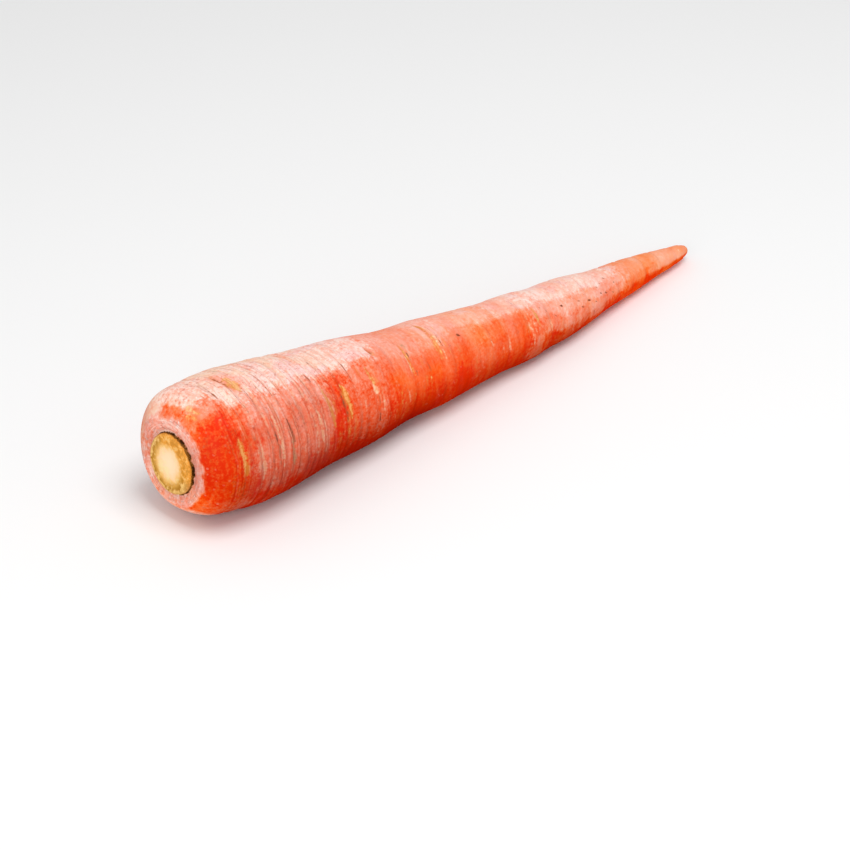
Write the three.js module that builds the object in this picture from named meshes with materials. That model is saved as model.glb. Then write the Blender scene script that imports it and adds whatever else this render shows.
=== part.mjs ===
// A red table carrot, washed and topped, lying on its side.
// It grew as one piece: a tapering taproot whose crown end carries the short
// stub left where the leaf stalks were cut off. The stub stands in a narrow
// groove inside the rounded shoulder. Growth rings pinch the skin every few
// millimetres, and short crosswise scars (lenticels) mark where rootlets left.
//
// Frame: +X runs from the cut crown to the root tip, +Z is up, and the origin
// is the centre of the bounding box at the level the root rests on.
import * as THREE from "three";

// Driving dimensions, in millimetres and degrees.
const LENGTH = 246; // front of the shoulder to the tip
const WIDEST_RADIUS = 21.9; // a little way behind the shoulder
const STUB_RADIUS = 9.2; // cut face left by the leaf stalks
const STUB_PROUD = 0.9; // how far the cut face stands in front of the shoulder
const STUB_TALLER = 0.06; // the cut face is this share taller than wide
const GROOVE_DEPTH = 0.7; // round the stub, below the front of the shoulder
const LEAN = 4.4; // the axis drops this much from crown to tip
const SEAT_DEPTH = 1.0; // how far the underside is flattened where it rests
const SIDES = 50; // facets round the root

// Radius of the body at distances behind the shoulder's front, [distance, radius].
const BODY = [
  [9, 20.8],
  [20, WIDEST_RADIUS],
  [30, 21.6],
  [42, 20.35],
  [49, 19.5],
  [58, 18.95],
  [66, 18.35],
  [73, 17.55],
  [86, 15.65],
  [95, 15.2],
  [103, 15.05],
  [112, 14.1],
  [122, 13.2],
  [133, 12.35],
  [142, 12.25],
  [149, 12.0],
  [157, 11.0],
  [166, 10.75],
  [178, 9.55],
  [193, 7.5],
  [208, 6.45],
  [222, 5.05],
  [235, 3.7],
  [245, 2.4],
];

// Sideways position of the centreline, [distance, offset towards +Y]: the root
// bows gently to one side, so it lies with the bow flat on the table.
const BOW = [
  [0, 3.0],
  [15, 1.5],
  [30, 0.4],
  [60, -0.65],
  [90, -1.9],
  [120, -3.2],
  [150, -4.1],
  [180, -3.5],
  [220, -1.4],
  [LENGTH, -0.8],
];

const STUB_DROP = 2.1; // how far the stub sits below the shoulder's centre

// Marks that are seen from the near side, which run crosswise: distance, angle
// from the top towards -Y, half length in degrees, and depth.
const NEAR_MARKS = [
  [10, 74, 14, 0.5],
  [16.5, 88, 26, 0.35],
  [22.8, 72, 22, 0.4],
  [28.3, 78, 21, 0.7],
  [41, 72, 16, 0.4],
  [46.5, 64, 16, 0.35],
  [53.2, 64, 15, 0.6],
  [66.3, 52, 16, 0.45],
  [72.5, 20, 7, 0.5],
  [85.2, 48, 17, 0.45],
  [99.5, 26, 26, 0.45],
  [123.5, 66, 6, 0.3],
  [131.5, 75, 17, 0.35],
  [142, 66, 22, 0.4],
  [147, 50, 16, 0.3],
  [161, 50, 6, 0.3],
  [176, 62, 7, 0.35],
  [187.5, 66, 7, 0.3],
  [206, 40, 14, 0.3],
];

// Growth rings: faint pinches that go most of the way round, at these distances.
// They crowd together under the shoulder and spread out towards the tip.
const RINGS = [
  10, 13, 16.5, 20, 22.8, 25.5, 28.3, 31.5, 35, 38, 41, 43.5, 46.5, 50, 53.2, 56, 58.7, 62, 66.3,
  72.5, 78, 85.2, 92, 99.5, 104.5, 110.3, 117, 123.5, 131.5, 137, 142, 147, 153.5, 161, 169, 176,
  187.5, 197, 206, 215, 225, 236,
];
const RING_DEPTH = 0.26;
const RING_HALF_WIDTH = 1.3; // of a pinch, along the root
const WIDE_GAP = 7.5; // between rings, past which the skin runs level between them
const FAR_MARKS = 20; // scars on the sides that the list above leaves bare

// A healed bruise and a small pit on the upper side.
const DIMPLES = [
  { distance: 17.5, angle: 7, radius: 4.5, depth: 0.9 },
  { distance: 110.3, angle: 36, radius: 1.6, depth: 0.5 },
];

// Repeatable scatter: a number from 0 to 1 for each count and salt.
function scatter(count, salt) {
  const value = Math.sin(count * 12.9898 + salt * 78.233) * 43758.5453;
  return value - Math.floor(value);
}

// Smooth curve through [x, y] points with uneven spacing.
function through(points, x) {
  const last = points.length - 1;
  const slope = (i) => {
    const before = points[Math.max(i - 1, 0)];
    const after = points[Math.min(i + 1, last)];
    return (after[1] - before[1]) / (after[0] - before[0]);
  };
  let i = 0;
  while (i < last - 1 && x > points[i + 1][0]) i += 1;
  const [x0, y0] = points[i];
  const [x1, y1] = points[i + 1];
  const span = x1 - x0;
  const t = THREE.MathUtils.clamp((x - x0) / span, 0, 1);
  const rise = t * t * (3 - 2 * t);
  const start = t * (1 - t) * (1 - t) * span * slope(i);
  const end = t * t * (t - 1) * span * slope(i + 1);
  return y0 + (y1 - y0) * rise + start + end;
}

// Angle from a to b in degrees, the short way round.
function turn(a, b) {
  return THREE.MathUtils.euclideanModulo(b - a + 180, 360) - 180;
}

function growthRings() {
  return RINGS.map((distance, count) => ({
    distance,
    angle: 360 * scatter(count, 2),
    halfLength: 90 + 60 * scatter(count, 3),
    depth: RING_DEPTH * (0.6 + 0.8 * scatter(count, 4)),
  }));
}

function scars() {
  const near = NEAR_MARKS.map(([distance, angle, halfLength, depth]) => ({
    distance,
    angle,
    halfLength,
    depth,
  }));
  const far = [];
  for (let count = 0; count < FAR_MARKS; count += 1) {
    far.push({
      distance: RINGS[Math.floor(((count + scatter(count, 5)) / FAR_MARKS) * RINGS.length)],
      angle: 205 + 120 * scatter(count, 6),
      halfLength: 10 + 14 * scatter(count, 7),
      depth: 0.3 + 0.3 * scatter(count, 8),
    });
  }
  return [...near, ...far];
}

// The half section of the root, from the middle of the cut face round the
// shoulder to the tip. Only stations on the body carry skin relief.
function stations() {
  const crown = [
    [0, 0.3 - STUB_PROUD],
    [5, 0.2 - STUB_PROUD],
    [STUB_RADIUS - 1.2, -STUB_PROUD],
    [STUB_RADIUS - 0.3, 0.1 - STUB_PROUD],
    [STUB_RADIUS + 0.1, 0.6 - STUB_PROUD],
    [STUB_RADIUS + 0.5, GROOVE_DEPTH],
    [STUB_RADIUS + 1.2, GROOVE_DEPTH],
    [11.8, 0.0],
    [13.6, -0.1],
    [15.5, 0.9],
    [17.5, 2.3],
    [19.1, 4.0],
    [20.3, 6.3],
  ].map(([radius, distance]) => ({ radius, distance, skin: false }));

  const between = RINGS.flatMap((distance, i) => {
    const next = RINGS[i + 1] ?? LENGTH - 4;
    if (next - distance < WIDE_GAP) return [distance, (distance + next) / 2];
    return [distance, distance + RING_HALF_WIDTH, next - RING_HALF_WIDTH];
  });
  const skin = [BODY[0][0], ...between].map((distance) => ({
    distance,
    radius: through(BODY, distance),
    skin: true,
  }));

  const tip = [
    [2.5, LENGTH - 4],
    [2.1, LENGTH - 2.2],
    [1.5, LENGTH - 0.9],
    [0.8, LENGTH - 0.2],
    [0, LENGTH],
  ].map(([radius, distance]) => ({ radius, distance, skin: false }));
  return [...crown, ...skin, ...tip];
}

// How far the skin is pulled in at a place on the body.
function relief(distance, angle, pinches) {
  let pulled = 0;
  for (const pinch of pinches) {
    const along = (distance - pinch.distance) / RING_HALF_WIDTH;
    const around = turn(pinch.angle, angle) / pinch.halfLength;
    if (Math.abs(along) < 1 && Math.abs(around) < 1) {
      const window = (1 - along * along) * (1 - around * around);
      pulled = Math.max(pulled, pinch.depth * window);
    }
  }
  for (const { distance: at, angle: facing, radius, depth } of DIMPLES) {
    const across = THREE.MathUtils.degToRad(turn(facing, angle)) * through(BODY, at);
    const away = Math.hypot(distance - at, across) / radius;
    if (away < 1) pulled = Math.max(pulled, depth * (1 - away * away));
  }
  const seatNearness = 1 - Math.min(Math.abs(turn(180, angle)) / 35, 1);
  return pulled * (1 - 0.9 * seatNearness);
}

// The root is not quite round: shallow flats and swellings that drift along it.
function swelling(distance, angle) {
  const around = THREE.MathUtils.degToRad(angle);
  const along = distance / 40;
  const lobes = 0.008 * Math.cos(2 * around + along) + 0.006 * Math.cos(3 * around - 1.7 * along);
  const seatNearness = Math.exp(-((turn(180, angle) / 40) ** 2));
  return 1 + lobes * (1 - seatNearness);
}

function taproot() {
  const pinches = [...growthRings(), ...scars()];
  const section = stations();
  const profile = section.map(({ radius, distance }) => new THREE.Vector2(radius, distance));
  const geometry = new THREE.LatheGeometry(profile, SIDES);
  const lean = THREE.MathUtils.degToRad(LEAN);
  const restAt = section.filter(({ skin }) => skin);
  const lowest = restAt.map(({ radius, distance }) => radius * Math.cos(lean) + distance * Math.sin(lean));
  const height = Math.max(...lowest) - SEAT_DEPTH;

  const position = geometry.getAttribute("position");
  for (let i = 0; i < position.count; i += 1) {
    const station = section[i % section.length];
    const angle = THREE.MathUtils.radToDeg(Math.atan2(position.getX(i), position.getZ(i)));
    let radius = station.radius;
    if (station.skin) {
      radius = radius * swelling(station.distance, angle) - relief(station.distance, angle, pinches);
    }
    const round = THREE.MathUtils.degToRad(angle);
    const centred = 1 - THREE.MathUtils.smoothstep(station.radius, STUB_RADIUS + 1.2, 20.3);
    const offCentre = station.distance < BODY[0][0] ? centred : 0;
    const y = through(BOW, station.distance) - radius * Math.sin(round);
    const z = radius * Math.cos(round) * (1 + STUB_TALLER * offCentre) - STUB_DROP * offCentre;
    const x = station.distance * Math.cos(lean) + z * Math.sin(lean);
    const level = z * Math.cos(lean) - station.distance * Math.sin(lean) + height;
    position.setXYZ(i, x, y, Math.max(level, 0));
  }

  geometry.computeBoundingBox();
  const middle = geometry.boundingBox.getCenter(new THREE.Vector3());
  geometry.translate(-middle.x, -middle.y, 0);
  geometry.computeVertexNormals();
  return geometry;
}

const redSkin = new THREE.MeshStandardMaterial({ color: 0xe0503a, roughness: 0.5, metalness: 0 });

const root = new THREE.Mesh(taproot(), redSkin);
root.name = "carrot";

const carrot = new THREE.Group();
carrot.add(root);

export default carrot;
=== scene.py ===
import math

import bpy
import numpy as np
from mathutils import Matrix, Vector


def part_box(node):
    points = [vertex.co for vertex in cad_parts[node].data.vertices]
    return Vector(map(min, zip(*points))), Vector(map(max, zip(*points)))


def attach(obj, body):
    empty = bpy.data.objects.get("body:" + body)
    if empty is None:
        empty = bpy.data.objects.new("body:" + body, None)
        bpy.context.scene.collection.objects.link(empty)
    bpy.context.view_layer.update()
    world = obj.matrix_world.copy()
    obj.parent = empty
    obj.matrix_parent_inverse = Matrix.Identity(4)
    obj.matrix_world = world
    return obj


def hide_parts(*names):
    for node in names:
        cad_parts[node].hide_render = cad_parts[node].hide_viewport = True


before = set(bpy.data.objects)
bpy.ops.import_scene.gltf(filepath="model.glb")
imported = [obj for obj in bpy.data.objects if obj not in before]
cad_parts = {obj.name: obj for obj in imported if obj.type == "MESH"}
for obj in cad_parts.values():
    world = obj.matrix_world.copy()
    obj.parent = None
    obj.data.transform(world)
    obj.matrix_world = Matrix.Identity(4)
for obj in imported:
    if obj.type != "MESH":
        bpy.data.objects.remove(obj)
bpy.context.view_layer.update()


# The taproot: a red table carrot grown as one piece, topped and laid on its side.
# A long cone tapers from a round shoulder to a blunt tip, bows a little, and is
# pinched by growth rings; a low stub of cut leaf stalks stands in the shoulder.
MM = 0.001  # the sizes below are in millimetres
LENGTH = 246.0
LEAN = math.radians(4.4)
STUB_RADIUS = 9.2
STUB_PROUD = 0.9
STUB_DROP = 2.1
STUB_TALLER = 0.06
GROOVE_DEPTH = 0.7
GROOVE_EDGE = STUB_RADIUS + 1.2
SHOULDER_RADIUS = 20.3
SEAT_DEPTH = 1.0
STATIONS_FROM = 8.6
SIDES = 176

# Radius and distance behind the shoulder's front, in mm, from the stub's middle outwards.
CROWN = [
    (0.0, 0.25 - STUB_PROUD), (2.5, 0.2 - STUB_PROUD), (5.0, 0.15 - STUB_PROUD),
    (7.2, 0.02 - STUB_PROUD), (8.4, -STUB_PROUD), (8.9, 0.1 - STUB_PROUD),
    (9.15, 0.35 - STUB_PROUD), (9.35, 0.0), (9.5, GROOVE_DEPTH - 0.1),
    (9.8, GROOVE_DEPTH + 0.1), (10.3, GROOVE_DEPTH - 0.1), (11.0, 0.25),
    (11.9, 0.0), (12.8, -0.15), (13.7, -0.05), (14.7, 0.35), (15.7, 1.0),
    (16.7, 1.7), (17.7, 2.5), (18.5, 3.3), (19.2, 4.15), (19.8, 5.15), (20.3, 6.3), (20.6, 7.5),
]
# Distance and radius of the body.
BODY = [
    (9, 20.8), (20, 21.9), (30, 21.6), (42, 20.35), (49, 19.5), (58, 18.95), (66, 18.35),
    (73, 17.55), (86, 15.65), (95, 15.2), (103, 15.05), (112, 14.1), (122, 13.2),
    (133, 12.35), (142, 12.25), (149, 12.0), (157, 11.0), (166, 10.75), (178, 9.55),
    (193, 7.5), (208, 6.45), (222, 5.05), (235, 3.7), (245, 2.4),
]
# Radius and distance at the tip.
TIP = [
    (2.5, LENGTH - 4), (2.35, LENGTH - 3), (2.1, LENGTH - 2.2), (1.8, LENGTH - 1.4),
    (1.4, LENGTH - 0.8), (0.9, LENGTH - 0.3), (0.4, LENGTH - 0.06), (0.0, LENGTH),
]
# Distance and sideways place of the middle.
BOW = [
    (0, 3.0), (15, 1.5), (30, 0.4), (60, -0.65), (90, -1.9), (120, -3.2),
    (150, -4.1), (180, -3.5), (220, -1.4), (LENGTH, -0.8),
]
# Distances of the growth rings.
RINGS = [
    10, 13, 16.5, 20, 22.8, 25.5, 28.3, 31.5, 35, 38, 41, 43.5, 46.5, 50, 53.2, 56, 58.7, 62, 66.3,
    72.5, 78, 85.2, 92, 99.5, 104.5, 110.3, 117, 123.5, 131.5, 137, 142, 147, 153.5, 161, 169, 176,
    187.5, 197, 206, 215, 225, 236,
]
RING_HALF_WIDTH = 1.2


def through(points, x):
    """Smooth curve through [x, y] points with uneven spacing."""
    xs, ys = np.array(points, float).T
    slope = np.empty_like(ys)
    slope[1:-1] = (ys[2:] - ys[:-2]) / (xs[2:] - xs[:-2])
    slope[0] = (ys[1] - ys[0]) / (xs[1] - xs[0])
    slope[-1] = (ys[-1] - ys[-2]) / (xs[-1] - xs[-2])
    i = np.clip(np.searchsorted(xs, x, side="right") - 1, 0, len(xs) - 2)
    span = xs[i + 1] - xs[i]
    t = np.clip((x - xs[i]) / span, 0, 1)
    rise = t * t * (3 - 2 * t)
    start = t * (1 - t) ** 2 * span * slope[i]
    end = t * t * (t - 1) * span * slope[i + 1]
    return ys[i] + (ys[i + 1] - ys[i]) * rise + start + end


def smooth(low, high, x):
    """0 at low, 1 at high, with a soft step between; low may be the larger one."""
    t = np.clip((x - low) / (high - low), 0, 1)
    return t * t * (3 - 2 * t)


class Wire:
    """One value that varies over the root's skin. Arithmetic on it gives another such value."""

    def __init__(self, tree, socket=None):
        self.tree, self.socket = tree, socket

    def node(self, kind, settings=None, inputs=None, out=0):
        made = self.tree.nodes.new(kind)
        for name, value in (settings or {}).items():
            if name == "stops":
                ramp = made.color_ramp
                while len(ramp.elements) < len(value):
                    ramp.elements.new(1.0)
                for element, (place, shade) in zip(ramp.elements, value):
                    element.position, element.color = place, shade
            else:
                setattr(made, name, value)
        for name, value in (inputs or {}).items():
            if isinstance(value, Wire):
                self.tree.links.new(value.socket, made.inputs[name])
            else:
                made.inputs[name].default_value = value
        return Wire(self.tree, made.outputs[out])

    def math(self, operation, *values):
        return self.node("ShaderNodeMath", {"operation": operation}, dict(enumerate(values)))

    def __add__(self, other):
        return self.math("ADD", self, other)

    __radd__ = __add__

    def __mul__(self, other):
        return self.math("MULTIPLY", self, other)

    __rmul__ = __mul__

    def __sub__(self, other):
        return self.math("SUBTRACT", self, other)

    def __rsub__(self, other):
        return self.math("SUBTRACT", other, self)

    def __pow__(self, other):
        return self.math("POWER", self, other)

    def __rpow__(self, other):
        return self.math("POWER", other, self)

    def __abs__(self):
        return self.math("ABSOLUTE", self)

    def between(self, low, high):
        """0 below low, 1 above high, with a soft step."""
        return self.node(
            "ShaderNodeMapRange", {"interpolation_type": "SMOOTHSTEP"},
            {"Value": self, "From Min": low, "From Max": high},
        )

    def tint(self, off, on):
        """Colour off where this is 0, colour on where it is 1."""
        return self.node("ShaderNodeMix", {"data_type": "RGBA"}, {0: self, 6: off, 7: on}, out=2)


# The half section at every station, with the middle's sideways place, its rise
# over the axis, and how strongly a growth ring pinches there. Stations stand
# closest under the shoulder, where the relief is finest.
along_body = np.concatenate([
    np.arange(STATIONS_FROM, 60, 0.44), np.arange(60, 150, 0.5), np.arange(150, LENGTH - 4.4, 0.62)])
crown = np.array(CROWN)
crown_steps = np.linspace(0, len(crown) - 1, 2 * len(crown) - 1)
crown_fine = np.stack([
    through(list(enumerate(crown[:, 0])), crown_steps),
    through(list(enumerate(crown[:, 1])), crown_steps),
], 1)
section = np.concatenate([crown_fine, np.stack([through(BODY, along_body), along_body], 1), np.array(TIP)])
radius, distance = np.maximum(section[:, 0], 0), section[:, 1]
on_skin = smooth(8, 14, distance) * smooth(245, 238, distance)
on_stub = (1 - smooth(GROOVE_EDGE, SHOULDER_RADIUS, radius)) * (distance < BODY[0][0])
aside = through(BOW, np.clip(distance, 0, LENGTH))
rise = -STUB_DROP * on_stub
pinched = np.zeros_like(distance)
for ring in RINGS:
    pinched = np.maximum(pinched, np.clip(1 - ((distance - ring) / RING_HALF_WIDTH) ** 2, 0, 1))
tallest = np.where(on_skin > 0, radius * math.cos(LEAN) + distance * math.sin(LEAN), 0).max()

half_section = bpy.data.meshes.new("half_section")
half_section.from_pydata(
    [(d, 0, r) for r, d in zip(radius, distance)], [(i, i + 1) for i in range(len(radius) - 1)], [])
stretch = 1 + STUB_TALLER * on_stub
for name, values in (
    ("aside", aside), ("rise", rise), ("stretch", stretch), ("pinched", pinched), ("on_skin", on_skin),
):
    half_section.attributes.new(name, "FLOAT", "POINT").data.foreach_set("value", values.astype(np.float32))

skin = bpy.data.materials.new("root_skin")
turning = bpy.data.node_groups.new("turn_taproot", "GeometryNodeTree")
turning.interface.new_socket("Half Section", in_out="INPUT", socket_type="NodeSocketGeometry")
turning.interface.new_socket("Root", in_out="OUTPUT", socket_type="NodeSocketGeometry")
sizes = {
    "Stations": ("NodeSocketInt", len(radius)),
    "Sides": ("NodeSocketInt", SIDES),
    "Lean": ("NodeSocketFloat", LEAN),
    "Lift": ("NodeSocketFloat", float(tallest - SEAT_DEPTH)),
    "Ring Depth": ("NodeSocketFloat", 0.5),
    "Swelling": ("NodeSocketFloat", 1.0),
    "Seed": ("NodeSocketFloat", 4.0),
}
for name, (kind, value) in sizes.items():
    turning.interface.new_socket(name, in_out="INPUT", socket_type=kind)
given = turning.nodes.new("NodeGroupInput")
size_of = {item.name: Wire(turning, item) for item in given.outputs if item.name}
wire = Wire(turning)

grid = wire.node("GeometryNodeMeshGrid", None, {
    "Size X": 1.0, "Size Y": 1.0, "Vertices X": size_of["Stations"], "Vertices Y": size_of["Sides"] + 1})
place = wire.node("GeometryNodeInputPosition")
flat = wire.node("ShaderNodeSeparateXYZ", None, {0: place}).socket.node.outputs
# A quarter past the whole number, so that a station's own row is always the one picked.
row = (Wire(turning, flat["X"]) + 0.5) * (size_of["Stations"] - 1)
station = wire.math("ROUND", row) + 0.25
angle = (Wire(turning, flat["Y"]) + 0.5) * (2 * math.pi)


def at_station(kind, value):
    return wire.node(
        "GeometryNodeSampleIndex", {"data_type": kind},
        {"Geometry": size_of["Half Section"], 1: value, "Index": station})


def named(name):
    return wire.node("GeometryNodeInputNamedAttribute", {"data_type": "FLOAT"}, {"Name": name})


section_place = at_station("FLOAT_VECTOR", place)
sampled = wire.node("ShaderNodeSeparateXYZ", None, {0: section_place}).socket.node.outputs
back, out_to = Wire(turning, sampled["X"]), Wire(turning, sampled["Z"])
cosine, sine = wire.math("COSINE", angle), wire.math("SINE", angle)
# Low lumps drift along the root, and each growth ring comes and goes on its way round.
lump_place = wire.node("ShaderNodeCombineXYZ", None, {
    "X": back * 0.05, "Y": cosine * 0.8, "Z": sine * 0.8})
lumps = wire.node("ShaderNodeTexNoise", {"noise_dimensions": "4D"}, {
    "Vector": lump_place, "W": size_of["Seed"], "Scale": 1.0, "Detail": 2.0})
run_place = wire.node("ShaderNodeCombineXYZ", None, {"X": back * 0.3, "Y": cosine, "Z": sine})
ring_run = wire.node("ShaderNodeTexNoise", {"noise_dimensions": "4D"}, {
    "Vector": run_place, "W": size_of["Seed"] + 7, "Scale": 1.1, "Detail": 1.0}).between(0.40, 0.62)
underneath = wire.math("MAXIMUM", 0 - cosine, 0.0) ** 3
ring_here = at_station("FLOAT", named("pinched")) * ring_run
moved = (lumps - 0.5) * size_of["Swelling"] - ring_here * size_of["Ring Depth"]
wide = out_to + moved * at_station("FLOAT", named("on_skin")) * (1 - underneath * 0.95)
up = wide * cosine * at_station("FLOAT", named("stretch")) + at_station("FLOAT", named("rise"))
tilt_c, tilt_s = wire.math("COSINE", size_of["Lean"]), wire.math("SINE", size_of["Lean"])
put = wire.node("ShaderNodeCombineXYZ", None, {
    "X": back * tilt_c + up * tilt_s,
    "Y": at_station("FLOAT", named("aside")) - wide * sine,
    "Z": wire.math("MAXIMUM", up * tilt_c - back * tilt_s + size_of["Lift"], 0.0),
})
put = wire.node("ShaderNodeVectorMath", {"operation": "SCALE"}, {0: put, "Scale": MM})
shape = grid
kept = {"along": back, "rho": out_to, "facing_up": cosine, "facing_near": sine, "pinch": ring_here}
for name, value in kept.items():
    shape = wire.node("GeometryNodeStoreNamedAttribute", {"data_type": "FLOAT", "domain": "POINT"},
                      {"Geometry": shape, "Name": name, "Value": value})
shape = wire.node("GeometryNodeSetPosition", None, {"Geometry": shape, "Position": put})
shape = wire.node("GeometryNodeMergeByDistance", None, {"Geometry": shape, "Distance": 0.004 * MM})
shape = wire.node("GeometryNodeSetShadeSmooth", None, {"Geometry": shape})
shape = wire.node("GeometryNodeRealizeInstances", None, {"Geometry": shape})
shape = wire.node("GeometryNodeSetMaterial", None, {"Geometry": shape, "Material": skin})
result = turning.nodes.new("NodeGroupOutput")
turning.links.new(shape.socket, result.inputs[0])

maker = bpy.data.objects.new("taproot_maker", half_section)
bpy.context.scene.collection.objects.link(maker)
turned = maker.modifiers.new("turn_taproot", "NODES")
turned.node_group = turning
for item in turning.interface.items_tree:
    if item.in_out == "INPUT" and item.name in sizes:
        turned[item.identifier] = sizes[item.name][1]
bpy.context.view_layer.update()
evaluated = maker.evaluated_get(bpy.context.evaluated_depsgraph_get())
root_mesh = bpy.data.meshes.new_from_object(evaluated)
root_mesh.name = "carrot_root"
maker.modifiers.remove(turned)
bpy.data.objects.remove(maker)

count = len(root_mesh.vertices)
co = np.empty(count * 3)
root_mesh.vertices.foreach_get("co", co)
co = co.reshape(-1, 3)


def kept_field(name):
    values = np.empty(count, np.float32)
    root_mesh.attributes[name].data.foreach_get("value", values)
    return values.astype(float)


along, rho = kept_field("along"), kept_field("rho")
around = np.degrees(np.arctan2(kept_field("facing_near"), kept_field("facing_up")))


# The skin's relief and scars: crosswise creases, and short slits where rootlets
# left, filled with ochre or cream cork in a rust stain, with dark cracks in them.
# Places are in mm along the root, and in degrees from the top to the near side.
WAVES = 14  # in each gentle field
LATTICE_FROM = -12  # in front of the shoulder
LATTICE_RUN = 300


def wander(size, seed):
    """A gentle random field over the skin, about -1 to 1, with lumps of about that size in mm."""
    picked = np.random.default_rng(seed)
    waves = picked.normal(size=(WAVES, 3)) / (size * 0.5)
    return np.sin(co @ waves.T / MM + picked.uniform(0, 6.28, WAVES)).sum(1) / 4.5


def crosswise(size, run, seed):
    """A random field, -1 to 1, in bands round the root: that many mm wide, that many degrees long."""
    rows, columns = int(LATTICE_RUN / size), round(360 / run)
    lattice = np.random.default_rng(seed).uniform(-1, 1, (rows, columns))
    u, v = (along - LATTICE_FROM) / size, (around % 360) / 360 * columns
    i, j = np.floor(u).astype(int), np.floor(v).astype(int)
    fade_u, fade_v = smooth(0, 1, u - i), smooth(0, 1, v - j)
    j, after = j % columns, (j + 1) % columns
    near_row = lattice[i, j] * (1 - fade_v) + lattice[i, after] * fade_v
    next_row = lattice[i + 1, j] * (1 - fade_v) + lattice[i + 1, after] * fade_v
    return near_row * (1 - fade_u) + next_row * fade_u


def turn_from(angle_at):
    """Degrees from that angle, the short way round."""
    return (around - angle_at + 180) % 360 - 180


slit_waver = 0.8 * wander(7, 9) + 0.2 * wander(2.5, 10)


def slit(at, middle, half_length, half_width):
    """1 along the middle of a spindle that runs round the root, 0 at its edge."""
    u = turn_from(middle) / half_length
    wide_here = half_width * np.clip(1 - u * u, 0.0001, 1) ** 0.75
    off = along - at - 0.4 * u - 0.3 * slit_waver
    return np.clip(1 - np.abs(off) / wide_here, 0, 1) * (np.abs(u) < 1)


# Ochre and cream are cork, brown is cracks and dirt, rust is stain, and olive is bruised skin:
# distance, middle angle, half length in degrees, half width in mm, depth in mm, strength.
OCHRE = [
    (10.4, 75, 18, 2.0, 0.35, 1.0), (54.0, 63, 19, 1.6, 0.35, 1.1), (45.9, 55, 14, 1.3, 0.1, 0.9),
    (46.2, 68, 14, 1.4, 0.1, 0.9), (66.2, 48, 12, 1.5, 0.1, 0.8), (99.2, 26, 34, 1.8, 0.2, 0.55),
    (102.6, 32, 24, 0.8, 0.1, 0.55), (95.6, 18, 18, 0.9, 0.1, 0.5), (98.3, 47, 14, 0.8, 0.1, 0.5),
    (85.0, 45, 25, 1.2, 0.25, 0.7), (146.8, 48, 20, 1.3, 0.15, 0.75), (141.6, 68, 12, 0.8, 0.1, 0.6),
    (18.6, 11, 11, 3.4, 0.3, 1.0), (18.2, 8, 22, 7.0, 0, 0.28), (92.5, 80, 9, 1.0, 0.1, 0.6),
    (222, 66, 10, 1.2, 0.05, 0.4), (3.4, 17, 9, 1.7, 0.1, 0.55), (2.2, 22, 7, 1.4, 0.1, 0.55),
    (78, 84, 14, 1.6, 0.05, 0.45), (84, 90, 12, 1.6, 0.05, 0.45), (52.8, 88, 14, 1.6, 0.05, 0.4),
    (48.6, 92, 10, 1.4, 0.05, 0.4), (57.6, 12, 6, 2.0, 0, 0.35), (43.5, -8, 10, 2.0, 0, 0.3),
]
CREAM = [
    (16.7, 86, 22, 0.8, 0.12, 0.8), (23.5, 72, 26, 0.8, 0.15, 0.8), (40.8, 72, 17, 1.2, 0.2, 0.9),
    (38.6, 74, 12, 0.7, 0.1, 0.7), (46.8, 60, 12, 0.8, 0.1, 0.7), (66.2, 61.5, 6, 2.0, 0.05, 0.8),
    (68.8, 76, 14, 0.8, 0.1, 0.5), (84.4, 50, 16, 0.6, 0.1, 0.7), (123.6, 66, 5, 1.0, 0.1, 0.75),
    (131.6, 74, 18, 0.9, 0.12, 0.45), (128.2, 78, 12, 0.8, 0.08, 0.38), (142.9, 72, 24, 1.2, 0.12, 0.6),
    (144.6, 60, 22, 0.8, 0.1, 0.5), (141.4, 80, 14, 0.7, 0.1, 0.5), (100.2, 30, 30, 0.8, 0.05, 0.7),
    (97.4, 20, 26, 0.7, 0.05, 0.5), (85.8, 40, 24, 0.7, 0.1, 0.6), (81.5, 88, 12, 0.7, 0.05, 0.5),
    (60.5, 70, 14, 0.7, 0.05, 0.4), (118, 12, 14, 2.4, 0, 0.35), (239, 50, 22, 3.0, 0, 0.4),
    (161, 2, 6, 1.2, 0, 0.4), (153.4, 70, 18, 1.2, 0.1, 0.55), (208, 44, 14, 1.0, 0.1, 0.5),
]
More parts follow.
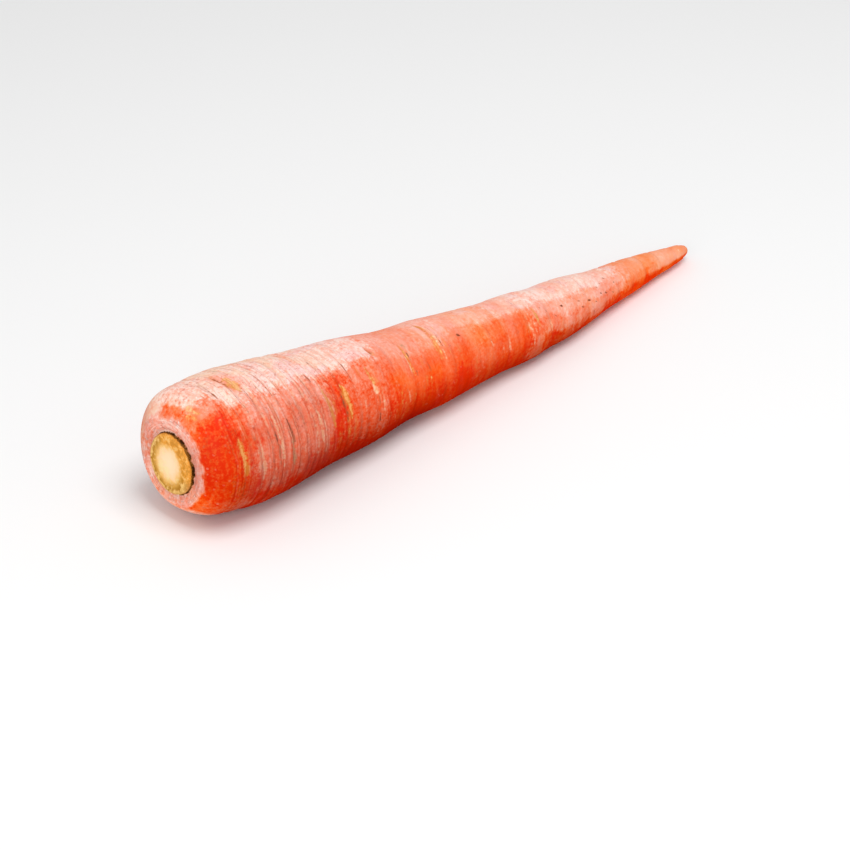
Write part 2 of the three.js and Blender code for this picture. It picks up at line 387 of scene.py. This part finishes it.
BROWN = [
    (28.3, 68, 12, 0.8, 0.5, 1.1), (22.2, 72, 20, 0.6, 0.3, 0.9), (27.2, 20, 24, 0.5, 0.2, 0.45),
    (16.3, 25, 20, 0.5, 0.2, 0.45), (20.3, 28, 24, 0.5, 0.2, 0.45), (10.7, 16, 22, 0.5, 0.2, 0.5),
    (9.4, -10, 16, 0.5, 0.2, 0.45), (48.2, 20, 18, 0.5, 0.2, 0.4), (58.6, 28, 22, 0.5, 0.2, 0.5),
    (52.2, 66, 14, 1.2, 0.3, 0.6), (86.1, 50, 18, 0.5, 0.2, 0.6), (101.0, 24, 26, 0.5, 0.15, 0.55),
    (72.4, 20, 5, 1.4, 0.3, 0.3), (67.1, 84, 18, 0.5, 0.2, 0.6), (16.4, 4, 9, 1.4, 0.4, 0.6),
    (141.0, 12, 9, 0.7, 0.1, 0.4), (153.3, 47, 3, 1.0, 0.1, 0.55), (161.2, 50, 2.2, 1.0, 0.1, 1.0),
    (157, 62, 2, 0.8, 0.05, 0.6), (171.4, 69, 2.4, 1.0, 0.05, 0.7), (176, 62.5, 2.6, 1.4, 0.1, 1.1),
    (187.7, 66, 3, 1.1, 0.1, 0.75), (190, 29, 3, 1.1, 0.05, 0.6), (197, 60, 3, 1.0, 0.05, 0.5),
    (179, 96, 8, 1.2, 0.1, 0.4), (87, 26, 4, 1.2, 0.05, 0.2), (43.3, 28, 6, 0.6, 0.1, 0.5),
    (34.5, 62, 8, 1.2, 0.1, 0.35), (92.8, 62, 9, 0.7, 0.1, 0.5), (110.3, 36, 2.6, 1.1, 0.4, 1.3),
    (196, 84, 14, 1.0, 0.2, 0.35), (168, 20, 3, 0.8, 0.05, 0.45), (183, 44, 2.4, 0.8, 0.05, 0.5),
    (150, 38, 2, 0.8, 0, 0.5), (155, 56, 1.8, 0.7, 0, 0.6), (164, 72, 2.2, 0.8, 0, 0.5),
    (166, 41, 2, 0.7, 0, 0.5), (170, 55, 2, 0.7, 0, 0.6), (174, 47, 2, 0.8, 0, 0.5),
    (180, 72, 2.4, 0.9, 0, 0.6), (184, 60, 2.2, 0.8, 0, 0.7), (186, 38, 2, 0.7, 0, 0.5),
    (192, 74, 3, 0.9, 0, 0.6), (194, 50, 2.2, 0.8, 0, 0.5), (201, 42, 2.4, 0.8, 0, 0.45),
]
RUST = [
    (17.0, 5, 16, 3.6, 0, 0.5), (16.0, 3, 12, 2.2, 0.2, 0.7), (20, 9, 14, 2.0, 0, 0.5),
    (52.8, 68, 20, 1.2, 0.1, 0.8), (47.6, 58, 16, 1.2, 0, 0.7), (99, 28, 36, 2.2, 0, 0.5),
    (85.4, 46, 26, 1.8, 0, 0.5), (10.0, 76, 22, 2.6, 0, 0.6), (62, 36, 14, 1.0, 0, 0.6),
    (31, 44, 14, 1.0, 0, 0.5), (36, 62, 18, 1.0, 0, 0.5), (24.6, 50, 18, 0.9, 0, 0.6),
    (13, 54, 20, 1.0, 0, 0.6), (72.4, 20, 9, 1.8, 0, 0.6), (68, 62, 14, 1.6, 0, 0.6),
    (90, 66, 22, 1.4, 0, 0.5), (107, 58, 18, 1.2, 0, 0.45), (114, 88, 20, 1.6, 0, 0.5),
    (2.8, 30, 10, 2.0, 0, 0.6), (56, 92, 18, 1.6, 0, 0.6), (79, 96, 18, 2.2, 0, 0.6),
]
OLIVE = [
    (28.2, 86, 13, 1.6, 0.15, 0.85), (99.6, 26, 16, 0.9, 0, 0.6), (22.0, 74, 12, 1.2, 0, 0.5),
    (15.6, 78, 14, 1.2, 0, 0.4), (147, 48, 14, 0.9, 0, 0.5), (86, 24, 8, 1.6, 0, 0.4),
]
# Scars strewn over the far side and the underside: how many, and then the
# ranges of the same six values, of which the depth is the same for all.
STREWN = [
    (OCHRE, 22, (12, 235), (150, 318), (8, 20), (0.8, 1.4), 0.3, (0.5, 1)),
    (CREAM, 34, (8, 235), (145, 320), (8, 22), (0.7, 1.3), 0.15, (0.5, 0.9)),
    (BROWN, 30, (8, 235), (140, 322), (2, 9), (0.5, 1.1), 0.15, (0.4, 0.9)),
]
chance = np.random.default_rng(11)
for marks, how_many, places, turns, lengths, widths, depth, strengths in STREWN:
    for _ in range(how_many):
        marks.append((
            chance.uniform(*places), chance.uniform(*turns), chance.uniform(*lengths),
            chance.uniform(*widths), depth, chance.uniform(*strengths)))

sunk = np.zeros(count)
fields = {}
for name, marks in (("rust", RUST), ("ochre", OCHRE), ("cream", CREAM), ("brown", BROWN), ("olive", OLIVE)):
    fields[name] = np.zeros(count)
    for at, middle, half_length, half_width, depth, strength in marks:
        fields[name] = np.maximum(fields[name], strength * slit(at, middle, half_length, half_width))
        groove = smooth(0, 1, slit(at, middle, half_length * 1.1, half_width * 1.5))
        sunk = np.maximum(sunk, depth * groove)

# The folds: nearly parallel creases, crowded under the shoulder and sparse towards the tip.
# "fold" counts them along the root, and "ringed" says how strongly they show.
FOLD_SPACING = [(0, 3.8), (40, 3.9), (75, 5.0), (120, 6.5), (LENGTH, 7.0)]
FOLD_STEP = 0.5
steps = np.arange(-5, LENGTH + 5, FOLD_STEP)
folds_so_far = np.cumsum(FOLD_STEP / through(FOLD_SPACING, np.clip(steps, 0, LENGTH)))
fold = np.interp(along, steps, folds_so_far)
fold = fold + 0.42 * crosswise(11, 75, 31) + 0.16 * crosswise(4, 26, 32)
off_fold = np.abs(fold % 1 - 0.5) * through(FOLD_SPACING, np.clip(along, 0, LENGTH))
ringed = smooth(4, 10, along) * (0.16 + 0.84 * smooth(62, 34, along)) * smooth(235, 190, along)
wrinkle = 0.08 * crosswise(1.7, 40, 34) + 0.05 * crosswise(1.0, 24, 35)
crease = 0.16 * smooth(0.75, 0.1, off_fold) * smooth(-0.5, 0.3, crosswise(3, 30, 36))
sunk = sunk + ringed * (crease - wrinkle)


# The skin's colour: deep orange-red flesh under a film that is rubbed pale, most
# on the upper side, where the paleness is partly a painted highlight from the light above.
# Patches are laid over each other in turn, with ragged edges.
# "pale" runs from 0, clean red, to 1, nearly white; "warm" turns it to orange.
edge_along = wander(9, 1) + 0.6 * wander(3, 2) + 0.5 * crosswise(2.2, 14, 5)
edge_around = wander(12, 3) + 0.6 * wander(4, 4)


def patch(start, end, low, high, soft_along=2.5, soft_around=6.0):
    """1 inside a stretch of the skin, fading to 0 over its wandering edges."""
    middle, half = (low + high) / 2, (high - low) / 2
    here = along + 1.6 * edge_along
    lengthwise = smooth(start - soft_along, start + soft_along, here)
    lengthwise = lengthwise * smooth(end + soft_along, end - soft_along, here)
    off_middle = np.abs(turn_from(middle) + 4.5 * edge_around)
    return lengthwise * smooth(half + soft_around, half - soft_around, off_middle)


# start, end, from angle, to angle, pale, softness along in mm and around in degrees
PATCHES = [
    (16, 46, 28, 56, 0.62, 2, 11), (16, 45, 52, 96, 0.40, 2, 9), (17, 32, 94, 112, 0.30, 2, 9),
    (45, 56, 36, 60, 0.17, 2, 8), (45, 56, 56, 114, 0.06, 1.6, 8),
    (57, 73, 34, 60, 0.40, 3, 10), (57, 72, 60, 108, 0.26, 3, 10),
    (73, 93, -50, 34, 0.56, 3, 9), (92, 105, -50, 30, 0.64, 3, 9), (103, 118, -50, 24, 0.70, 3, 8),
    (118, 131, 32, 58, 0.28, 3, 9), (118, 131, 56, 84, 0.16, 3, 9),
    (117, 131, -50, 26, 0.70, 3, 9), (131, 147, -60, 32, 0.82, 3, 7), (146, 198, -60, 38, 0.90, 7, 9),
    (145, 203, 36, 64, 0.66, 6, 10), (148, 203, 62, 90, 0.50, 6, 10), (165, 203, 88, 104, 0.36, 5, 9),
    # The stretch from 150 to 163 mm, 96 to 140 degrees round, is a deeper red as painted shade on the lower
    # flank.
    (150, 163, 96, 140, 0.16, 5, 10), (142, 148, 80, 132, 0.36, 2, 9), (204, 252, -60, 62, 0.56, 4, 12),
    (203, 222, 56, 80, 0.38, 4, 10), (190, 230, 88, 150, 0.04, 5, 10),
    (216, 252, -20, 92, 0.60, 8, 12), (228, 252, 92, 150, 0.10, 5, 12),
    (-4, 74, -70, 28, 0.90, 1.6, 8), (-4, 15, -70, 28, 0.90, 3, 6), (-4, 8, 14, 34, 0.45, 2.5, 7),
]
# angle from the top, and how pale the skin is there where no patch lies: paler towards
# the top, partly as rubbed film and partly as a painted highlight from the light above
BY_ANGLE = [
    (0, 0.56), (30, 0.50), (45, 0.37), (65, 0.25), (85, 0.14), (105, 0.06), (130, 0.02), (180, 0.04),
]
pale = through(BY_ANGLE, np.abs(around)) + 0.04 * wander(20, 6)
broken = np.zeros(count)  # how ragged the paint is, most along the patches' edges
for start, end, low, high, target, soft_along, soft_around in PATCHES:
    laid = patch(start, end, low, high, soft_along, soft_around)
    edge = 4 * laid * (1 - laid) * np.abs(target - pale)
    broken = np.maximum(broken * (1 - laid), edge)
    pale = pale * (1 - laid) + target * laid

# The far side and the underside: pale blotches on clean red, fading towards the tip.
FAR_SIDE = 230
blotches = 0.8 * wander(30, 51) + 0.55 * wander(11, 52) + 0.3 * wander(4, 54)
blotches = smooth(-0.55, 0.65, blotches + 0.25 * crosswise(3, 16, 53))
hidden_side = smooth(96, 66, np.abs(turn_from(FAR_SIDE) + 5 * edge_around))
hidden_side = hidden_side * (1 - 0.75 * smooth(190, 215, along))
pale = pale * (1 - hidden_side) + (0.04 + 0.80 * blotches) * hidden_side
broken = np.maximum(broken, 0.35 * hidden_side * 4 * blotches * (1 - blotches))
pale = pale + smooth(55, 80, along) * (
    0.11 * crosswise(8, 70, 41) + 0.06 * crosswise(3.5, 40, 42) + 0.03 * crosswise(1.8, 30, 43))

# On the shoulder: a pale collar round the groove, clean red on the near side,
# and a smaller orange patch over the collar.
edge_rho = rho + 0.7 * wander(5, 7) + 0.35 * wander(1.8, 8)
front = smooth(9, 6, along)
cleaned = patch(-6, 15.5, 32, 146, 2.0, 7) * smooth(14.0, 15.0, edge_rho)
cleaner = 0.05 + (0.17 + 0.12 * smooth(62, 44, np.abs(around))) * smooth(8, 12, along)
cleaner = cleaner + 0.15 * smooth(112, 132, np.abs(around))
rubbed = front * smooth(20, 60, np.abs(turn_from(-12)))
pale = pale * (1 - rubbed) + 0.70 * rubbed
pale = pale * (1 - cleaned) + cleaner * cleaned
orange_spot = smooth(13.8, 14.8, edge_rho) * smooth(18.0, 16.8, edge_rho) * (along < 6)
orange_spot = orange_spot * smooth(36, 26, np.abs(turn_from(6) + 5 * edge_around))
pale = pale * (1 - orange_spot) + 0.36 * orange_spot
collar = smooth(9.6, 10.4, rho) * smooth(15.2, 13.9, edge_rho) * (along < 5)
pale = pale * (1 - collar) + 0.72 * collar

# Painted shade: the lower flank is darkened to a deeper red, with a weaker band
# of painted shade just above it, behind the shoulder.
under = smooth(70, 130, np.abs(around)) * smooth(-1, 12, along)
under = under * (0.66 + 0.34 * smooth(105, 85, along) * smooth(15, 45, along)) * smooth(205, 160, along)
flank_shade_band = (0.16 + 0.08 * smooth(20, 12, along)) * smooth(75, 45, along)
under = under + flank_shade_band * smooth(38, 62, np.abs(around)) * smooth(125, 95, np.abs(around))

# Where the film turns orange: the shoulder's front, some patches, and the tip.
warm = 0.25 * smooth(60, 110, along) + 0.65 * smooth(192, 214, along)
warm = warm + 0.5 * smooth(8, 0, along) * (1 - collar) - 0.3 * patch(16, 46, 20, 116, 3, 10)
warm = warm + 0.4 * patch(112, 130, -40, 60, 5, 14) + 0.6 * patch(74, 96, 60, 114, 4, 9)
warm = warm + 0.5 * patch(5, 16, 60, 114, 3, 9)
warm = warm + 0.35 * crosswise(4, 30, 44) * smooth(50, 80, np.abs(around))

# How strongly the film is mottled.
mottled = 0.55 - 0.1 * patch(18, 46, 58, 112) + 0.45 * smooth(82, 66, along)
mottled = mottled + 0.1 * smooth(142, 152, along) - 0.3 * smooth(196, 210, along)
fields.update({
    "pale": pale,
    "warm": warm,
    "rough": mottled,
    "ringed": ringed,
    "broken": broken,
    "fold": fold,
    # painted shade on the lower flank
    "under": under,
    "dusty": patch(15, 46, 34, 116, 3, 10),
    "sheen": 0.12 * smooth(104, 58, np.abs(around)),
    "collar": collar,
})

# The relief is pressed into the skin, but not where the root rests or on the cut face.
normals = np.empty(count * 3)
root_mesh.vertex_normals.foreach_get("vector", normals)
normals = normals.reshape(-1, 3)
outwards = np.sign(np.einsum("ij,ij->i", normals, co - co.mean(0)).sum())
off_seat = co[:, 2] > 0.02 * MM
co = co - normals * (outwards * sunk * (along > 1) * off_seat * MM)[:, None]
low_corner, high_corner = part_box("carrot")
co[:, 0] += high_corner.x - co[:, 0].max()
co[:, 1] += (low_corner.y + high_corner.y) / 2 - (co[:, 1].min() + co[:, 1].max()) / 2
co[:, 2] = np.maximum(co[:, 2], 0)
stub_middle = co[(rho < 0.3) & (along < 5)].mean(0) / MM
root_mesh.vertices.foreach_set("co", co.ravel())
if outwards < 0:
    root_mesh.flip_normals()
root_mesh.update()
for name in ("facing_up", "facing_near"):
    root_mesh.attributes.remove(root_mesh.attributes[name])
for name, values in fields.items():
    root_mesh.attributes.new(name, "FLOAT", "POINT").data.foreach_set("value", values.astype(np.float32))

skin.use_nodes = True
skin.node_tree.nodes.clear()
w = Wire(skin.node_tree)


def field(name):
    return w.node("ShaderNodeAttribute", {"attribute_name": name}, None, "Fac")


def colour(red, green, blue):
    """Linear colour from the numbers a painter reads, 0 to 255."""
    parts = [c / 255 for c in (red, green, blue)]
    return tuple(((p + 0.055) / 1.055) ** 2.4 if p > 0.04 else p / 12.92 for p in parts) + (1.0,)


spot = w.node("ShaderNodeTexCoord", None, None, "Object")
spot_mm = w.node("ShaderNodeVectorMath", {"operation": "SCALE"}, {0: spot, "Scale": 1 / MM})
split = w.node("ShaderNodeSeparateXYZ", None, {0: spot_mm}).socket.node.outputs
mm_y, mm_z = Wire(w.tree, split["Y"]), Wire(w.tree, split["Z"])
along_f, rho_f = field("along"), field("rho")


def grain(size, detail=3.0):
    """Even speckle, with grains of about that size in mm."""
    return w.node("ShaderNodeTexNoise", None, {
        "Vector": spot_mm, "Scale": 0.6 / size, "Detail": detail, "Roughness": 0.6}, "Fac")


wobble = (grain(9.0, 2.0) - 0.5) * 3.0 + (grain(2.0, 2.0) - 0.5) * 0.9


def streaks(size, run=14.0):
    """Streaks that run round the root: that wide in mm, and about run mm long."""
    drawn = w.node("ShaderNodeCombineXYZ", None, {
        "X": (along_f + wobble) * (0.6 / size), "Y": mm_y * (0.6 / run), "Z": mm_z * (0.6 / run)})
    return w.node("ShaderNodeTexNoise", None, {
        "Vector": drawn, "Scale": 1.0, "Detail": 2.0, "Roughness": 0.55}, "Fac")


fine, small, patchy, broad = grain(0.45, 2.0), grain(0.8), grain(2.4), grain(7.0, 3.0)
wide_streak, thin_streak, hair_streak = streaks(2.0), streaks(0.8, 6.0), streaks(0.45, 9.0)
ringing, rough, broken_edge = field("ringed"), field("rough"), field("broken")

# How pale the skin is here, with the film's grain and streaks.
mottle = (hair_streak - 0.5) * ringing * 1.8 + (small - 0.5) * 2.6 + (fine - 0.5) * 1.4
mottle = mottle + (thin_streak - 0.5) * 1.3 + (patchy - 0.5) * 0.7 + (wide_streak - 0.5) * 0.5
paleness = field("pale") + mottle * (rough * 0.30 + broken_edge * 0.7)
PINK = [
    (0.0, colour(232, 44, 6)), (0.15, colour(238, 78, 30)), (0.3, colour(242, 106, 66)),
    (0.5, colour(247, 140, 110)), (0.7, colour(250, 170, 150)), (0.85, colour(252, 196, 180)),
    (1.0, colour(253, 222, 212)),
]
ORANGE = [
    (0.0, colour(242, 58, 0)), (0.15, colour(247, 92, 20)), (0.3, colour(250, 114, 50)),
    (0.5, colour(252, 146, 92)), (0.7, colour(253, 172, 134)), (0.85, colour(253, 196, 168)),
    (1.0, colour(254, 222, 202)),
]
pinkish = w.node("ShaderNodeValToRGB", {"stops": PINK}, {"Fac": paleness})
orangish = w.node("ShaderNodeValToRGB", {"stops": ORANGE}, {"Fac": paleness})
skin_colour = (field("warm") + (broad - 0.5) * 1.3 + (wide_streak - 0.5) * 0.8).tint(pinkish, orangish)

# The thickest film is cool pink in places, and creamy in others near the crown.
film = field("pale").between(0.6, 0.85) * (1 - field("collar"))
cool = film * broad.between(0.50, 0.62) * along_f.between(14, 40) * 0.4
skin_colour = cool.tint(skin_colour, colour(244, 196, 200))
creamy = film * broad.between(0.56, 0.42) * along_f.between(70, 30) * 0.45
skin_colour = creamy.tint(skin_colour, colour(248, 212, 178))

# Pale dots and dark red specks on clean red, brown specks on the pale film, and
# brown pores among the folds.
on_pale = paleness.between(0.2, 0.7)
dot = w.node("ShaderNodeTexVoronoi", None, {"Vector": spot_mm, "Scale": 0.55}, "Distance")
dots = (1 - (dot + (fine - 0.5) * 0.3).between(0.12, 0.30)) * patchy.between(0.44, 0.62)
skin_colour = (dots * (1 - on_pale) * rough * 0.55).tint(skin_colour, colour(248, 150, 118))
specks = grain(0.7, 1.5).between(0.57, 0.70) * broad.between(0.38, 0.58) * on_pale * rough * 0.5
skin_colour = specks.tint(skin_colour, colour(208, 88, 56))
dark_specks = grain(0.8).between(0.55, 0.66) * patchy.between(0.40, 0.60) * (1 - on_pale) * rough * 0.45
skin_colour = dark_specks.tint(skin_colour, colour(190, 34, 10))
pores = grain(0.55, 1.0).between(0.56, 0.68) * patchy.between(0.44, 0.60) * ringing
skin_colour = (pores * (0.6 - on_pale * 0.35)).tint(skin_colour, colour(164, 66, 36))


# Hairlines along the folds: a dark one with a light one beside it. Along each growth
# ring a dark line is painted shade where the ring pinches in.
def fold_line(per_fold, offset, half_width, breaks, seed, waver):
    """1 on every fold line, fading in and out round the root."""
    shaken = (small - 0.5) * 0.12 + (fine - 0.5) * 0.10 + (patchy - 0.5) * waver
    phase = field("fold") * per_fold + offset + shaken
    off_line = abs(w.math("FRACT", phase) - 0.5)
    broken_up = w.node("ShaderNodeTexNoise", None, {
        "Vector": w.node("ShaderNodeCombineXYZ", None, {
            "X": w.math("FLOOR", phase) * 5.3 + seed, "Y": mm_y * 0.11, "Z": mm_z * 0.11}),
        "Scale": 1.0, "Detail": 2.0}, "Fac")
    return (1 - off_line.between(half_width * 0.4, half_width)) * broken_up.between(breaks, breaks + 0.12)


dark_fold = fold_line(1.0, 0.0, 0.10, 0.45, 0.0, 0.25)
light_fold = fold_line(1.0, 0.87, 0.13, 0.41, 0.0, 0.25)
dark_fine = fold_line(3.2, 0.3, 0.24, 0.49, 40.0, 0.9)
light_fine = fold_line(3.2, 0.05, 0.24, 0.48, 80.0, 0.9)
# Painted shade in the groove where each growth ring pinches in.
ring_groove_shade = (field("pinch") + (small - 0.5) * 0.3).between(0.70, 1.0)
speckled = 0.2 + small.between(0.3, 0.7)
dark_hairlines_and_ring_shade = ((dark_fold * 0.55 + dark_fine * 0.28) * ringing + ring_groove_shade * 0.22) * speckled
skin_colour = dark_hairlines_and_ring_shade.tint(skin_colour, on_pale.tint(colour(150, 36, 14), colour(186, 108, 70)))
light = (light_fold * 0.42 + light_fine * 0.26) * ringing * speckled * (0.45 + on_pale * 0.55)
skin_colour = light.tint(skin_colour, colour(250, 200, 160))

# Scars: a rust stain, grey-green bruising, ochre and cream cork, and dirt in the cracks.
ragged = (fine - 0.5) * 0.9 + (small - 0.5) * 1.5 + (thin_streak - 0.5) * 1.0 + (patchy - 0.5) * 1.4
for name, edge_tone, middle_tone, lit_tone, strength in (
    ("rust", colour(238, 112, 64), colour(216, 96, 40), colour(240, 140, 72), 0.7),
    ("olive", colour(206, 140, 104), colour(132, 112, 74), colour(190, 166, 120), 0.78),
    ("ochre", colour(232, 122, 56), colour(214, 138, 52), colour(246, 186, 110), 0.75),
    ("cream", colour(244, 164, 128), colour(248, 198, 152), colour(254, 222, 184), 0.66),
    ("brown", colour(180, 84, 50), colour(100, 46, 24), colour(170, 96, 58), 0.95),
):
    here = field(name) + ragged * 0.85 * field(name).between(0.0, 0.4)
    cork = (hair_streak + (small - 0.5) * 0.8).between(0.42, 0.62).tint(middle_tone, lit_tone)
    filled = here.between(0.3, 0.8).tint(edge_tone, cork)
    skin_colour = (here.between(0.04, 0.75) * strength).tint(skin_colour, filled)
# Dust dulls the flank behind the shoulder, and painted shade darkens the lower flank to a deeper red.
skin_colour = (field("dusty") * (0.22 + (patchy - 0.5) * 0.3)).tint(skin_colour, colour(190, 116, 104))
# Painted shade on the lower flank.
skin_colour = (field("under") * 0.88).tint(skin_colour, colour(136, 14, 2))

# The collar's fine wrinkles, which run round the groove.
collar_place = w.node("ShaderNodeCombineXYZ", None, {
    "X": rho_f * 1.3 + wobble * 0.3, "Y": mm_y * 0.1, "Z": mm_z * 0.1})
collar_wave = w.node("ShaderNodeTexNoise", None, {
    "Vector": collar_place, "Scale": 1.0, "Detail": 2.0}, "Fac")
collar_line = (1 - abs(collar_wave - 0.5).between(0.01, 0.05)) * field("collar")
collar_line = collar_line * patchy.between(0.32, 0.55)
skin_colour = (collar_line * 0.5 * small.between(0.3, 0.6)).tint(skin_colour, colour(176, 112, 92))
collar_light = field("collar") * collar_wave.between(0.56, 0.68) * 0.5
skin_colour = collar_light.tint(skin_colour, colour(252, 214, 196))

# The cut stub: cream pith, an amber ring of vessels that is olive on one side,
# a thin pale edge, and a dark, dried rind in the groove, reaching further in on the
# upper side, where it is partly painted shade under the groove's lip.
PITH_ASIDE = 0.9  # from the stub's middle
PITH_ABOVE = 0.1
off_y = mm_y - float(stub_middle[1] + PITH_ASIDE)
off_z = mm_z - float(stub_middle[2] + PITH_ABOVE)
oval = ((off_y * 1.12) ** 2.0 + (off_z * 0.94) ** 2.0) ** 0.5
to_edge = oval * 0.5 + rho_f * 0.5 + (grain(1.6) - 0.5) * 2.4 + (broad - 0.5) * 1.8 + (small - 0.5) * 1.8
pith = w.node("ShaderNodeValToRGB", {"stops": [
    (0.0, colour(254, 226, 186)), (0.30, colour(254, 221, 180)), (0.48, colour(252, 210, 158)),
    (0.57, colour(246, 194, 122)), (0.66, colour(226, 168, 84)), (0.74, colour(206, 150, 64)),
    (0.81, colour(184, 126, 44)), (0.89, colour(238, 190, 112)), (0.96, colour(214, 164, 92)),
]}, {"Fac": to_edge * 0.104})
amber_side = ((off_z * 0.75 - off_y * 0.66) * 0.1 + 0.5 + (patchy - 0.5) * 0.5).between(0.55, 1.0)
vessels = to_edge.between(5.2, 6.4)
pith = (amber_side * vessels * 0.8).tint(pith, colour(240, 158, 56))
pith = (grain(0.8, 2.0).between(0.52, 0.66) * vessels * 0.55).tint(pith, colour(252, 208, 130))
pith = (grain(0.8, 2.0).between(0.52, 0.40) * vessels * 0.35).tint(pith, colour(150, 100, 30))
pith = (patchy.between(0.5, 0.64) * (1 - vessels) * 0.5).tint(pith, colour(244, 226, 160))
deep_in = along_f + (small - 0.5) * 1.6 + (patchy - 0.5) * 1.2 + amber_side * 0.25
# Dark dried rind, partly painted shade under the groove's lip on the upper side.
rind_and_lip_shade = deep_in.between(-0.15, 0.30) * rho_f.between(8.85, 9.15)
rind_and_lip_shade_tone = (small + (patchy - 0.5) * 0.6).between(0.42, 0.6).tint(colour(56, 30, 6), colour(128, 84, 28))
pith = rind_and_lip_shade.tint(pith, rind_and_lip_shade_tone)
grown = (rho_f + (small - 0.5) * 1.0 + (patchy - 0.5) * 0.9).between(9.5, 9.85)
on_front = (1 - grown) * (1 - along_f.between(1.5, 2.5))
shade = on_front.tint(skin_colour, pith)

relief = (hair_streak * 0.3 + thin_streak * 0.4 - dark_fold * 0.7 - dark_fine * 0.3) * ringing
relief = relief + small * 0.25 - field("brown") * 0.4 - collar_line * 0.35 + dots * 0.1
bumpy = w.node("ShaderNodeBump", None, {"Strength": 0.55, "Distance": 0.35 * MM, "Height": relief})
gloss = 0.40 + paleness * 0.14 + (small - 0.5) * 0.25 + on_front * 0.2
surface = w.node("ShaderNodeBsdfPrincipled", None, {
    "Base Color": shade, "Roughness": gloss, "Normal": bumpy, "Specular IOR Level": 0.0,
    "Coat Weight": field("sheen"), "Coat Roughness": 0.38})
w.tree.links.new(surface.socket, w.tree.nodes.new("ShaderNodeOutputMaterial").inputs["Surface"])

carrot = bpy.data.objects.new("carrot_root", root_mesh)
bpy.context.scene.collection.objects.link(carrot)
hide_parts("carrot")
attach(carrot, "root")


# The studio: a pale seamless floor and a bright even surround, with a broad soft
# light overhead and a weaker one off the crown end. The camera stands at the near
# crown end and looks down along the root.
FLOOR_HALF = 4
floor_mesh = bpy.data.meshes.new("floor")
corners = [(-1, -1), (1, -1), (1, 1), (-1, 1)]
floor_mesh.from_pydata([(FLOOR_HALF * x, FLOOR_HALF * y, 0) for x, y in corners], [], [(0, 1, 2, 3)])
floor = bpy.data.objects.new("floor", floor_mesh)
bpy.context.scene.collection.objects.link(floor)
paper = bpy.data.materials.new("white_paper")
paper.use_nodes = True
matte = paper.node_tree.nodes["Principled BSDF"].inputs
matte["Base Color"].default_value = (0.94, 0.94, 0.94, 1)
matte["Roughness"].default_value = 0.9
matte["Specular IOR Level"].default_value = 0.1
floor_mesh.materials.append(paper)

world = bpy.data.worlds.new("studio")
world.use_nodes = True
surround = world.node_tree.nodes["Background"].inputs
surround["Color"].default_value = (1.0, 1.0, 1.0, 1)
surround["Strength"].default_value = 0.55
bpy.context.scene.world = world


def softbox(name, place_at, aim, width, power):
    lamp = bpy.data.lights.new(name, "AREA")
    lamp.shape, lamp.size, lamp.energy = "SQUARE", width, power
    holder = bpy.data.objects.new(name, lamp)
    facing = (Vector(aim) - Vector(place_at)).to_track_quat("-Z", "Y").to_matrix().to_4x4()
    holder.matrix_world = Matrix.Translation(place_at) @ facing
    bpy.context.scene.collection.objects.link(holder)


softbox("overhead", (-0.05, -0.35, 1.0), (0, 0, 0), 0.6, 5.6)
softbox("crown end", (-0.85, -0.35, 0.30), (-0.05, 0, 0.02), 0.5, 2.2)

EYE = (-0.469377, -0.439842, 0.378712)
forward = Vector((0.61160641, 0.59120065, -0.52575601)).normalized()
right = Vector((0.69501, -0.71900, 0.0)).normalized()
upward = right.cross(forward)
lens = bpy.data.cameras.new("camera")
lens.lens = 93.18
lens.sensor_width = 36.0
lens.clip_start = 0.01
camera = bpy.data.objects.new("camera", lens)
axes = Matrix((right, upward, -forward)).transposed().to_4x4()
camera.matrix_world = Matrix.Translation(EYE) @ axes
bpy.context.scene.collection.objects.link(camera)
bpy.context.scene.camera = camera
bpy.context.scene.view_settings.view_transform = "Standard"
